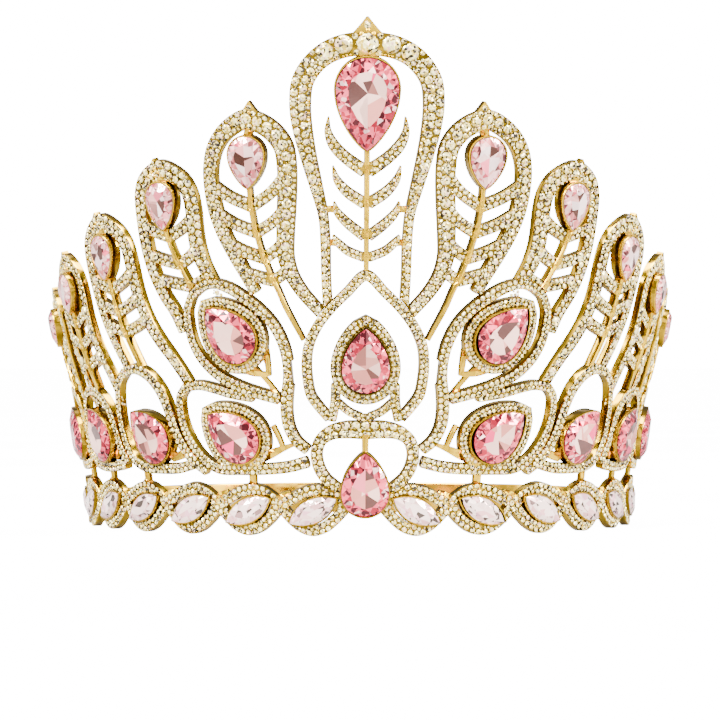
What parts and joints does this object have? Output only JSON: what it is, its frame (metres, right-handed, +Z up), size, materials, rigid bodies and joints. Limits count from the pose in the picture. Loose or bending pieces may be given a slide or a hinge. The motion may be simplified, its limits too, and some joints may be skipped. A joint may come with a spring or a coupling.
{
  "type": "crystal crown",
  "caption": "Tall gold crown of peacock-feather castings set with clear crystals and rose pear stones, rising to a pointed front over a plain back band.",
  "frame": {"origin": "in the middle of the crown's width and depth, at the height of the band's foot; the head's axis is 12.6 mm behind it", "axes": "+Z up along the head's axis, -Y to the front of the crown, +X to the viewer's right of its front"},
  "size_m": [0.1846, 0.184, 0.1416],
  "materials": {
    "gold_castings": "polished, set with clear crystals",
    "gold_band": "polished",
    "rose_stones": "faceted, foil-backed",
    "pale_stones": "faceted, foil-backed"
  },
  "bodies": {
    "root": {"mandorla": "gold_castings", "feather_centre": "gold_castings", "eyes_left_1": "gold_castings", "eyes_left_2": "gold_castings", "eyes_left_3": "gold_castings", "eyes_left_4": "gold_castings", "eyes_right_1": "gold_castings", "eyes_right_2": "gold_castings", "eyes_right_3": "gold_castings", "eyes_right_4": "gold_castings", "feather_left_1": "gold_castings", "feather_left_2": "gold_castings", "feather_left_3": "gold_castings", "feather_left_4": "gold_castings", "feather_left_5": "gold_castings", "feather_right_1": "gold_castings", "feather_right_2": "gold_castings", "feather_right_3": "gold_castings", "feather_right_4": "gold_castings", "feather_right_5": "gold_castings", "garland_left": "gold_castings", "garland_right": "gold_castings", "back_band": "gold_band", "pear_centre_top": "rose_stones", "pear_centre_middle": "rose_stones", "pear_centre_drop": "rose_stones", "pear_feather_left_1": "rose_stones", "pear_feather_left_2": "rose_stones", "pear_feather_left_3": "rose_stones", "pear_feather_left_4": "rose_stones", "pear_feather_left_5": "rose_stones", "pear_feather_right_1": "rose_stones", "pear_feather_right_2": "rose_stones", "pear_feather_right_3": "rose_stones", "pear_feather_right_4": "rose_stones", "pear_feather_right_5": "rose_stones", "pear_eye_left_upper": "rose_stones", "pear_eye_left_lower": "rose_stones", "pear_eye_left_second": "rose_stones", "pear_eye_left_third": "rose_stones", "pear_eye_left_fourth": "rose_stones", "pear_eye_right_upper": "rose_stones", "pear_eye_right_lower": "rose_stones", "pear_eye_right_second": "rose_stones", "pear_eye_right_third": "rose_stones", "pear_eye_right_fourth": "rose_stones", "marquise_left_1": "pale_stones", "marquise_left_2": "pale_stones", "marquise_left_3": "pale_stones", "marquise_left_4": "pale_stones", "marquise_left_5": "pale_stones", "marquise_left_6": "pale_stones", "marquise_left_7": "pale_stones", "marquise_right_1": "pale_stones", "marquise_right_2": "pale_stones", "marquise_right_3": "pale_stones", "marquise_right_4": "pale_stones", "marquise_right_5": "pale_stones", "marquise_right_6": "pale_stones", "marquise_right_7": "pale_stones"}
  },
  "joints": []
}
